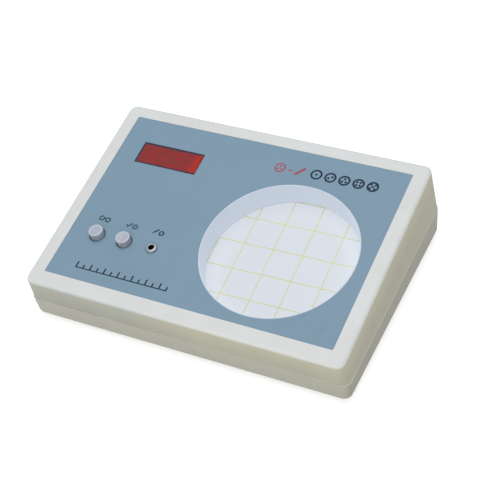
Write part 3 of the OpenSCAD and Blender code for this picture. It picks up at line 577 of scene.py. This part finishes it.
DOTS = ([(0, 0)], [(-1, -0.6), (1, 0.6)], [(-1.1, -0.9), (1.1, -0.9), (0, 1.1)],
        [(-1, -1), (1, -1), (-1, 1), (1, 1)], [(-1.3, -1.3), (1.3, -1.3), (-1.3, 1.3), (1.3, 1.3), (0, 0)])


def dish(x, y, radius, line, dots, dot):
    """A round dish seen from above, with its colonies."""
    spread = radius / 3.4
    colonies = [ink_dot(x + dx * spread, y + dy * spread, dot) for dx, dy in dots]
    return [ink_ring(x, y, radius, line)] + colonies


SMALL_DISH = 1.95
arrow = cut(ink_ring(16.6, 48.6, SMALL_DISH, 0.8), block("gap", (2.4, 1.4, 2), (18.4, 49.6, INK_UNDER)))
arrow = [arrow, ink_point(18.3, 49.1, 1.1, 115)]
printed("reset_sign", arrow + dish(21.2, 48.2, SMALL_DISH, 0.8, [], 0), ink_dark)
tick = [ink_bar(36.1, 47.7, 2.0, 0.85, -45), ink_bar(37.8, 48.7, 4.0, 0.85, 50)]
printed("check_sign", tick + dish(41.6, 48.0, SMALL_DISH, 0.75, DOTS[0], 0.5), ink_dark)
pen = [ink_bar(57.0, 49.0, 3.8, 1.1, 45), ink_point(55.3, 47.3, 0.7, 225)]
printed("probe_sign", pen + dish(61.0, 48.0, SMALL_DISH, 0.75, DOTS[1], 0.45), ink_dark)


# Plain ruler near the front edge, printed in the dark ink, for measuring colonies:
# a line with a tick every 5 mm, longer every 10 mm.
TICK_PITCH = 5
LONG_TICK, SHORT_TICK = 4.5, 3.1
ruler = [ink_bar(51, 9.0, 66, 0.8, 0)]
for k in range(14):
    tick = SHORT_TICK if k % 2 else LONG_TICK
    ruler.append(ink_bar(18.5 + TICK_PITCH * k, 8.8 + tick / 2, tick, 1.05, 90))
printed("front_ruler", ruler, ink_dark)


# Header over the well: a dish, a dash and a pen in red, and five dark dishes that hold one to five dots
header = dish(113.6, 117.9, 3.7, 0.9, DOTS[2], 0.75) + [ink_bar(121, 117.4, 2.6, 0.9, 0)]
header += [ink_bar(127.9, 118.6, 7.4, 1.7, 50), ink_point(125.2, 115.3, 1.1, 230)]
printed("header_red", header, ink_red)
DISH_PITCH = 9.6
for k, dots in enumerate(DOTS):
    printed(f"header_dish_{k + 1}", dish(138.8 + DISH_PITCH * k, 118.5, 4.0, 1.3, dots, 0.85), ink_dark)


# Display window: a slip of clear red acrylic on a ledge just under the panel's face.
# Three seven-segment digit modules stand close behind it, unlit, against the left of the opening.
window_red = moulded("red_acrylic", tone(160, 28, 32), tone(128, 42, 40), patch_amount=1.0, patch_scale=170.0,
                     grain=900.0, bump=0.000005, edge_wear_and_highlight=tone(70, 30, 50), edge_wear_and_highlight_amount=0.5, roughness=0.16,
                     Specular_IOR_Level=0.35, Alpha=0.82)
# Painted shade of the gap round the window: a dark border along its left, far and near edges, and darker
# edges. The brighter orange band at its right end is a painted reflection.
tree, base, skin = colour_of(window_red)
to_window = (DECK @ shift(*WINDOW)).inverted()
turned = {"Vector": spot_in(tree), "Location": to_window.to_translation(), "Rotation": to_window.to_euler()}
parts = parts_of(tree, node(tree, "ShaderNodeMapping", turned, vector_type="POINT").outputs["Vector"])
left = ramp(tree, parts["X"], -21.1 * MM, -21.7 * MM)
far = ramp(tree, parts["Y"], 7.0 * MM, 7.6 * MM)
near = ramp(tree, parts["Y"], -7.4 * MM, -7.9 * MM)
painted_gap_shade = math_node(tree, "MAXIMUM", math_node(tree, "MAXIMUM", left, far), near)
painted_reflection_band = ramp(tree, parts["X"], 16.8 * MM, 17.8 * MM)
painted_reflection_colour = mix(tree, painted_reflection_band, skin, tone(180, 27, 2))
tree.links.new(mix(tree, painted_gap_shade, painted_reflection_colour, tone(42, 36, 66)), base)

window = block("red_window", (44.4, 16.4, 2.4), (*WINDOW, -1.7))
round_off(window, both(lambda spot: spot.z > -0.6 * MM), 0.2, 2)
finish_mesh(place(window, DECK), window_red, 30)
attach(window, "housing")
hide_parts("display_window")

module_black = moulded("digit_face", tone(46, 40, 34), tone(34, 32, 28), patch_scale=80.0, roughness=0.4)
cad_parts["digit_modules"].material_slots[0].material = module_black
segment_pale = moulded("digit_segments", tone(196, 84, 96), tone(176, 70, 82), patch_scale=120.0,
                       roughness=0.35)
DIGIT_PITCH = 12.9
DIGIT_LEAN = 0.12
SEGMENT = 1.3
SEGMENT_HEIGHT = -4.5
SEGMENT_THICK = 0.16
LYING = [(0, y, 5) for y in (5, 0, -5)]
STANDING = [(x, y, 4.2) for y in (2.5, -2.5) for x in (-3, 3)]
for k in range(3):
    middle = WINDOW[0] - 1.8 + (k - 1) * DIGIT_PITCH
    lines = []
    for x, y, length in LYING + STANDING:
        size = (SEGMENT, length) if x else (length, SEGMENT)
        spot = (middle + x + DIGIT_LEAN * y, WINDOW[1] + y, SEGMENT_HEIGHT)
        lines.append(round_off(block("bar", (*size, SEGMENT_THICK), spot), upright, 0.55, 2))
    low = SEGMENT_HEIGHT - SEGMENT_THICK / 2
    lines.append(rod("point", 0.6, low, low + SEGMENT_THICK, middle + 4.6, WINDOW[1] - 5.4, 16))
    digit = joined(lines)
    digit.name = digit.data.name = f"digit_{k + 1}_segments"
    finish_mesh(place(digit, DECK), segment_pale, 30, weighted=False)
    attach(digit, "housing")


# Push buttons: two round caps of pale lilac plastic with a raised rim and a dished top.
# Each has a stop flange under the deck and a stem that presses its switch on the board.
cap_lilac = moulded("lilac_plastic", tone(174, 180, 194), tone(160, 168, 185), patch_amount=0.8,
                    patch_scale=220.0, bump=0.00001, edge_wear_and_highlight=tone(236, 236, 240), edge_wear_and_highlight_amount=0.9,
                    roughness=0.36, Specular_IOR_Level=0.4, Subsurface_Weight=0.15, Subsurface_Scale=0.002)
# The crest of the raised rim is painted lighter and the edges are tinted bright, both a painted highlight.
tree, base, skin = colour_of(cap_lilac)
painted_rim_highlight = ramp(tree, depth_in(tree), -4.06 * MM, -4.16 * MM)
tree.links.new(mix(tree, painted_rim_highlight, skin, tone(186, 191, 204)), base)
STEM = [(0, -9.2), (2.3, -9.2), (2.5, -9.0), (2.5, -5.2)]
FLANGE = [(6.4, -5.2), (6.5, -5.1), (6.5, -4.3), (6.4, -4.2)]
CAP_SIDE = [(4.75, -4.2), (4.75, 3.7), (4.72, 3.9), (4.63, 4.07), (4.48, 4.17), (4.3, 4.2)]
CAP_TOP = [(3.9, 4.2), (3.6, 4.14), (3.35, 4.0), (3.1, 3.93), (2.0, 3.88), (0, 3.85)]
for label, (x, y) in zip(("reset", "check"), BUTTONS):
    cap = lathe(f"{label}_cap", STEM + FLANGE + CAP_SIDE + CAP_TOP)
    place(cap, DECK @ shift(x, y))
    finish_mesh(cap, cap_lilac, 40, weighted=False)
    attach(cap, f"{label}_cap")
    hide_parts(f"{label}_button")


# Return springs: coils of zinc-plated wire, three turns each, in the bores of the switches under the stems.
zinc = moulded("zinc_steel", tone(176, 178, 180), tone(160, 162, 166), patch_scale=400.0, grain=3000.0,
               bump=0.00001, roughness=0.32, Metallic=0.9)
WIRE, COIL, TURNS = 0.2, 1.9, 3
COIL_LOW, COIL_HIGH = -11.62, -9.28


for label, (x, y) in zip(("reset", "check"), BUTTONS):
    bpy.ops.object.select_all(action="DESELECT")
    bpy.ops.mesh.primitive_circle_add(vertices=8, radius=WIRE * MM, fill_type="NOTHING")
    standing = Matrix.Rotation(math.pi / 2, 4, "X")
    coil = place(named(f"{label}_coil"), shift(COIL, 0, COIL_LOW + WIRE) @ standing)
    turn = coil.modifiers.new("turn", "SCREW")
    turn.axis, turn.iterations = "Z", TURNS
    turn.steps = turn.render_steps = 16
    turn.screw_offset = (COIL_HIGH - COIL_LOW - 2 * WIRE) * MM / TURNS
    bpy.ops.object.modifier_apply(modifier=turn.name)
    bpy.ops.object.mode_set(mode="EDIT")
    bpy.ops.mesh.select_all(action="SELECT")
    bpy.ops.mesh.fill_holes(sides=8)
    bpy.ops.mesh.select_all(action="SELECT")
    bpy.ops.mesh.normals_make_consistent(inside=False)
    bpy.ops.object.mode_set(mode="OBJECT")
    place(coil, DECK @ shift(x, y))
    finish_mesh(coil, zinc, 50, weighted=False)
    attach(coil, "housing")
    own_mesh(coil)
    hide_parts(f"{label}_spring")


# Probe socket: a black moulded body under the deck, held from above by a turned and nickel-plated nut.
# The nut is domed, and the body's bush opens at its crown with the plug hole.
nickel = moulded("nickel_plate", tone(143, 149, 157), tone(118, 123, 131), patch_amount=0.6,
                 patch_scale=500.0, grain=4000.0, bump=0.000005, edge_wear_and_highlight=tone(206, 208, 210),
                 edge_wear_and_highlight_amount=0.5, roughness=0.3, Metallic=0.85)
socket_black = moulded("socket_black", tone(34, 32, 32), tone(24, 23, 24), patch_scale=120.0, roughness=0.4)
NUT_OUTSIDE = [(2.05, -1.0), (2.95, -1.0), (2.95, -0.4), (3.85, -0.4), (3.9, -0.3), (3.9, 0.1), (3.8, 0.4)]
NUT_DOME = [(3.55, 0.7), (3.15, 0.93), (2.8, 1.05), (2.5, 1.09), (2.25, 1.05), (2.1, 0.95), (2.05, 0.8)]
nut = lathe("socket_nut", NUT_OUTSIDE + NUT_DOME)
place(nut, DECK @ shift(*JACK))
finish_mesh(nut, nickel, 40, weighted=False)
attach(nut, "housing")
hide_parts("jack_nut")
BODY_OUTSIDE = [(0, -12.2), (3.8, -12.2), (4, -12), (4, -4.1), (3.8, -3.9), (3, -3.9), (3, -1.02)]
BUSH_AND_BORE = [(2.03, -1.02), (2.03, 0.85), (1.8, 0.85), (1.8, -11.2), (0, -11.2)]
body = lathe("socket_body", BODY_OUTSIDE + BUSH_AND_BORE)
place(body, DECK @ shift(*JACK))
finish_mesh(body, socket_black, 40, weighted=False)
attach(body, "housing")
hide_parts("probe_jack")


# Well: a translucent opal ring hangs under the deck and a frosted plate closes it below.
# Both glow softly with painted light, standing in for the lamp under the plate lighting them from inside. The
# plate's engraved lines are filled with yellow paint, in squares of 20 mm that short lines close at the wall.
opal = moulded("opal_plastic", tone(130, 142, 160), tone(124, 136, 155), patch_scale=40.0, grain=1500.0,
               bump=0.00001, edge_wear_and_highlight=tone(150, 160, 176), edge_wear_and_highlight_amount=0.6, roughness=0.5, Subsurface_Weight=0.2,
               Subsurface_Scale=0.002, Specular_IOR_Level=0.25, Emission_Color=(0.81, 0.87, 0.94, 1),
               Emission_Strength=0.47)
tree, base, skin = colour_of(opal)
# Painted shadow: the ring is darker along its lowest edge, where it stands on the plate.
foot = ramp(tree, depth_in(tree), 17.1 * MM, 17.8 * MM)
tree.links.new(mix(tree, foot, skin, tone(60, 70, 84)), base)
frosted = moulded("frosted_plate", tone(133, 137, 142), tone(128, 132, 138), patch_scale=35.0, grain=1500.0,
                  bump=0.00001, edge_wear_and_highlight_amount=0.0, roughness=0.38, Emission_Strength=0.54)
tree = frosted.node_tree
# Painted light: the plate glows more strongly towards the wall, which takes out the shade at the wall's foot.
middle = DECK @ (Vector((*WELL, WELL_FLOOR)) * MM)
away = node(tree, "ShaderNodeVectorMath", {0: spot_in(tree), 1: middle}, operation="DISTANCE")
painted_light_near_wall = ramp(tree, away.outputs["Value"], 34 * MM, 50 * MM, interpolation_type="SMOOTHSTEP")
glow = mix(tree, painted_light_near_wall, (0.73, 0.78, 0.84, 1), (0.86, 0.91, 0.97, 1))
tree.links.new(glow, tree.nodes["Principled BSDF"].inputs["Emission Color"])
for name, material in (("well_ring", opal), ("grid_plate", frosted)):
    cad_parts[name].material_slots[0].material = material

line_yellow = moulded("yellow_line_paint", tone(206, 209, 104), tone(208, 189, 76), patch_amount=0.6,
                      patch_scale=90.0, grain=3000.0, bump=0.00001, roughness=0.5)
GRID = DECK @ shift(*WELL, WELL_FLOOR) @ Matrix.Rotation(math.radians(1.3), 4, "Z")
GRID_REACH = 51
GRID_EDGE = 49.2
GRID_SHIFT = -1
SQUARE = 20
LINE = 0.5
LINE_DEPTH, LINE_MIDDLE = 0.24, -0.16
strips = []
for k in (-30, -10, 10, 30):
    half = math.sqrt(GRID_REACH ** 2 - k ** 2)
    strips.append(((2 * half, LINE), (0, k)))
    half = math.sqrt(GRID_REACH ** 2 - (k + GRID_SHIFT) ** 2)
    strips.append(((LINE, 2 * half), (k + GRID_SHIFT, 0)))
for edge in (-GRID_EDGE, GRID_EDGE):
    strips.append(((SQUARE, LINE), (GRID_SHIFT, edge)))
    strips.append(((LINE, SQUARE), (edge, 0)))
lines = joined([block("strip", (*size, LINE_DEPTH), (*spot, LINE_MIDDLE)) for size, spot in strips])
lines.name = lines.data.name = "grid_lines"
finish_mesh(place(lines, GRID), line_yellow, 30, weighted=False)
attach(lines, "housing")


# Rear connectors: an appliance inlet with flat pins, a fuse holder with a slotted cap and a rocker switch.
# Their black bodies come with the model, and the cap and the rocker get softer edges here.
connector_black = moulded("connector_black", tone(36, 36, 38), tone(28, 28, 30), patch_scale=120.0,
                          grain=2200.0, bump=0.00002, edge_wear_and_highlight=tone(70, 70, 72), edge_wear_and_highlight_amount=0.5, roughness=0.42)
pin_metal = moulded("pin_metal", tone(196, 190, 168), tone(180, 172, 150), patch_scale=300.0, grain=3000.0,
                    bump=0.00001, roughness=0.25, Metallic=0.9)
for name in ("mains_inlet", "fuse_holder", "switch_frame", "push_switches", "board_chips", "buzzer"):
    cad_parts[name].material_slots[0].material = connector_black
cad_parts["inlet_pins"].material_slots[0].material = pin_metal

FUSE_SLEEVE = [(0, -0.001), (0, 0), (2.65, 0), (2.65, -4), (3.64, -4), (3.64, 2.3)]
FUSE_HEAD = [(6.15, 2.3), (6.25, 2.4), (6.25, 7.7), (6.15, 8.05), (5.9, 8.25), (5.6, 8.3), (0, 8.3)]
FLUTES = 12
FLUTE_CIRCLE = 6.45
cap = lathe("fuse_cap_turned", FUSE_SLEEVE + FUSE_HEAD)
cut(cap, block("slot", (9.5, 1.2, 3), (0, 0, 8.3)))
for k in range(FLUTES):
    angle = math.tau * k / FLUTES
    cut(cap, rod("flute", 0.45, 3.2, 9, FLUTE_CIRCLE * math.cos(angle), FLUTE_CIRCLE * math.sin(angle), 10))
place(cap, rear_place(FUSE_X) @ shift(0, REAR_ROW))
finish_mesh(cap, connector_black, 40, weighted=False)
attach(cap, "fuse_carrier")
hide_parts("fuse_cap")

# The rocker's face is hollow from end to end, and below it narrows to a root that turns on a pin
ROCKER_HALF_WIDTH, ROCKER_HALF_LENGTH = 4.9, 8.3
ROCKER_ROOT_HALF = 3
FACE_LOW, FACE_RISE, FACE_CURVE = 3.8, 1.6, 1.6
rocker = block("rocker_moulding", (2 * ROCKER_HALF_WIDTH, 2 * ROCKER_HALF_LENGTH, 3.9), (0, 0, 3.45))
pick(rocker, "FACE", lambda middle, normal: normal.z > 0.9)
bpy.ops.mesh.subdivide(number_cuts=3)
bpy.ops.object.mode_set(mode="OBJECT")
for v in rocker.data.vertices:
    if v.co.z > 5.3 * MM:
        along = abs(v.co.y) / (ROCKER_HALF_LENGTH * MM)
        v.co.z = (FACE_LOW + FACE_RISE * along ** FACE_CURVE) * MM
pick(rocker, "FACE", lambda middle, normal: normal.z < -0.9)
bpy.ops.mesh.extrude_region_move(TRANSFORM_OT_translate={"value": (0, 0, -5.5 * MM)})
bpy.ops.object.mode_set(mode="OBJECT")
for v in rocker.data.vertices:
    if v.co.z < 0:
        v.co.y *= ROCKER_ROOT_HALF / ROCKER_HALF_LENGTH


def on_side(spot):
    return abs(abs(spot.x) - ROCKER_HALF_WIDTH * MM) < 0.01 * MM and spot.z > 1.6 * MM


round_off(rocker, both(on_side), 0.35, 2)
add(rocker, place(rod("pin", 1.2, -6.2, 6.2, 0, 0, 32), Matrix.Rotation(math.pi / 2, 4, "Y")))
place(rocker, rear_place(SWITCH_X) @ shift(0, REAR_ROW, -3) @ Matrix.Rotation(math.radians(12), 4, "X"))
finish_mesh(rocker, connector_black, 35, weighted=False)
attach(rocker, "rocker")
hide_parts("power_rocker")


# Feet: four soft black rubber pads, pressed into round seats in the floor, with a shallow hollow below.
# The hollow's rim and the sole's edge are rounded off.
rubber = moulded("black_rubber", tone(42, 42, 43), tone(34, 34, 35), patch_amount=0.6, patch_scale=150.0,
                 grain=1600.0, bump=0.00005, edge_wear_and_highlight=tone(70, 70, 70), edge_wear_and_highlight_amount=0.4, roughness=0.75)
SOLE = [(0, 0.25), (3.4, 0.25), (3.7, 0), (4.8, 0), (5.05, 0.12), (5.2, 0.4)]
SEATED = [(6, 2.0), (6, 3), (0, 3)]
feet = joined([place(lathe("foot", SOLE + SEATED, 48), shift(*spot)) for spot in FEET])
feet.name = feet.data.name = "rubber_pads"
finish_mesh(feet, rubber, 40, weighted=False)
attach(feet, "housing")
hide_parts("rubber_feet")


# Inner pieces: the boards, the lamp with its gear, the supply and the screws, as they come with the model.
# Each gets the finish that such a piece is sold in.
laminate = moulded("board_green", tone(34, 96, 58), tone(26, 82, 48), patch_amount=0.6, patch_scale=90.0,
                   grain=1500.0, bump=0.00002, roughness=0.35)
tin = moulded("tray_metal", tone(206, 206, 204), tone(192, 192, 192), bump=0.00002, roughness=0.4,
              Metallic=0.6)
tube = moulded("lamp_coating", tone(238, 240, 242), tone(230, 232, 236), patch_scale=30.0, grain=900.0,
               bump=0.00001, roughness=0.25)
white_moulding = moulded("white_moulding", tone(226, 226, 220), tone(214, 214, 206), patch_scale=80.0,
                         roughness=0.45)
iron = moulded("core_iron", tone(84, 86, 90), tone(66, 68, 72), patch_amount=0.7, patch_scale=200.0,
               grain=3000.0, bump=0.00005, Metallic=0.5)
tape = moulded("coil_tape", tone(212, 176, 80), tone(196, 158, 66), patch_amount=0.6, patch_scale=150.0,
               grain=1800.0, bump=0.00004)
sleeve = moulded("blue_sleeve", tone(44, 58, 98), tone(36, 48, 84), patch_scale=100.0, roughness=0.3)
for material, names in (
    (zinc, ("plate_screws", "board_screws", "case_screws")),
    (laminate, ("control_board", "supply_board")),
    (tin, ("lamp_tray", "heat_sink", "lamp_caps")),
    (tube, ("lamp_tube", "fuse_link")),
    (white_moulding, ("lamp_holders", "starter", "starter_base")),
    (iron, ("choke", "transformer_core")),
    (tape, ("transformer_coil",)),
    (sleeve, ("capacitors",)),
):
    for name in names:
        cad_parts[name].material_slots[0].material = material


# Studio: a pale floor that keeps the shadow, white surroundings and two soft lamps, one above
# and one in front, with the camera at the picture's angle.
def seen_rays(tree):
    """One where the camera looks, also by a reflection or through a clear piece, and otherwise nothing."""
    rays = node(tree, "ShaderNodeLightPath").outputs
    direct = math_node(tree, "MAXIMUM", rays["Is Camera Ray"], rays["Is Glossy Ray"])
    return math_node(tree, "MAXIMUM", direct, rays["Is Transmission Ray"])


bpy.ops.object.select_all(action="DESELECT")
bpy.ops.mesh.primitive_plane_add(size=6)
floor = named("studio_floor")
paper = bpy.data.materials.new("studio_paper")
paper.use_nodes = True
tree = paper.node_tree
matt = shader(paper, Base_Color=(0.62, 0.62, 0.62, 1), Roughness=0.9)
strength = math_node(tree, "MULTIPLY", seen_rays(tree), 0.67)
glow = node(tree, "ShaderNodeEmission", {"Color": (1, 1, 1, 1), "Strength": strength})
lifted = node(tree, "ShaderNodeAddShader", {0: matt.outputs[0], 1: glow.outputs[0]})
tree.links.new(lifted.outputs[0], tree.nodes["Material Output"].inputs["Surface"])
floor.data.materials.append(paper)

world = bpy.data.worlds.new("studio_air")
bpy.context.scene.world = world
world.use_nodes = True
tree = world.node_tree
tree.nodes.clear()
air = node(tree, "ShaderNodeBackground", {"Color": (1, 0.99, 0.97, 1), "Strength": 0.36})
white = node(tree, "ShaderNodeBackground", {"Color": (1, 1, 1, 1), "Strength": 1.0})
blend = node(tree, "ShaderNodeMixShader", {0: seen_rays(tree), 1: air.outputs[0], 2: white.outputs[0]})
node(tree, "ShaderNodeOutputWorld", {"Surface": blend.outputs[0]})


def lamp(name, spot, size, power, colour, target=(0, 0, 0.04)):
    light = bpy.data.lights.new(name, "AREA")
    light.shape, light.size, light.energy, light.color = "SQUARE", size, power, colour
    obj = bpy.data.objects.new(name, light)
    bpy.context.scene.collection.objects.link(obj)
    obj.location = spot
    obj.rotation_euler = (Vector(target) - Vector(spot)).to_track_quat("-Z", "Y").to_euler()


lamp("top_light", (-0.1, 0.1, 1.3), size=1.0, power=10.2, colour=(0.98, 0.99, 1.0))
lamp("front_light", (0.25, -1.3, 0.7), size=0.9, power=4.8, colour=(1.0, 0.97, 0.9))

eye = bpy.data.cameras.new("camera")
eye.lens, eye.sensor_width, eye.clip_start, eye.clip_end = 98.16, 36, 0.02, 20
camera = bpy.data.objects.new("camera", eye)
bpy.context.scene.collection.objects.link(camera)
camera.location = (0.3363, -0.49844, 0.60956)
camera.rotation_euler = [math.radians(a) for a in (45.334, 7.924, 25.980)]
bpy.context.scene.camera = camera
bpy.context.scene.view_settings.view_transform = "Standard"
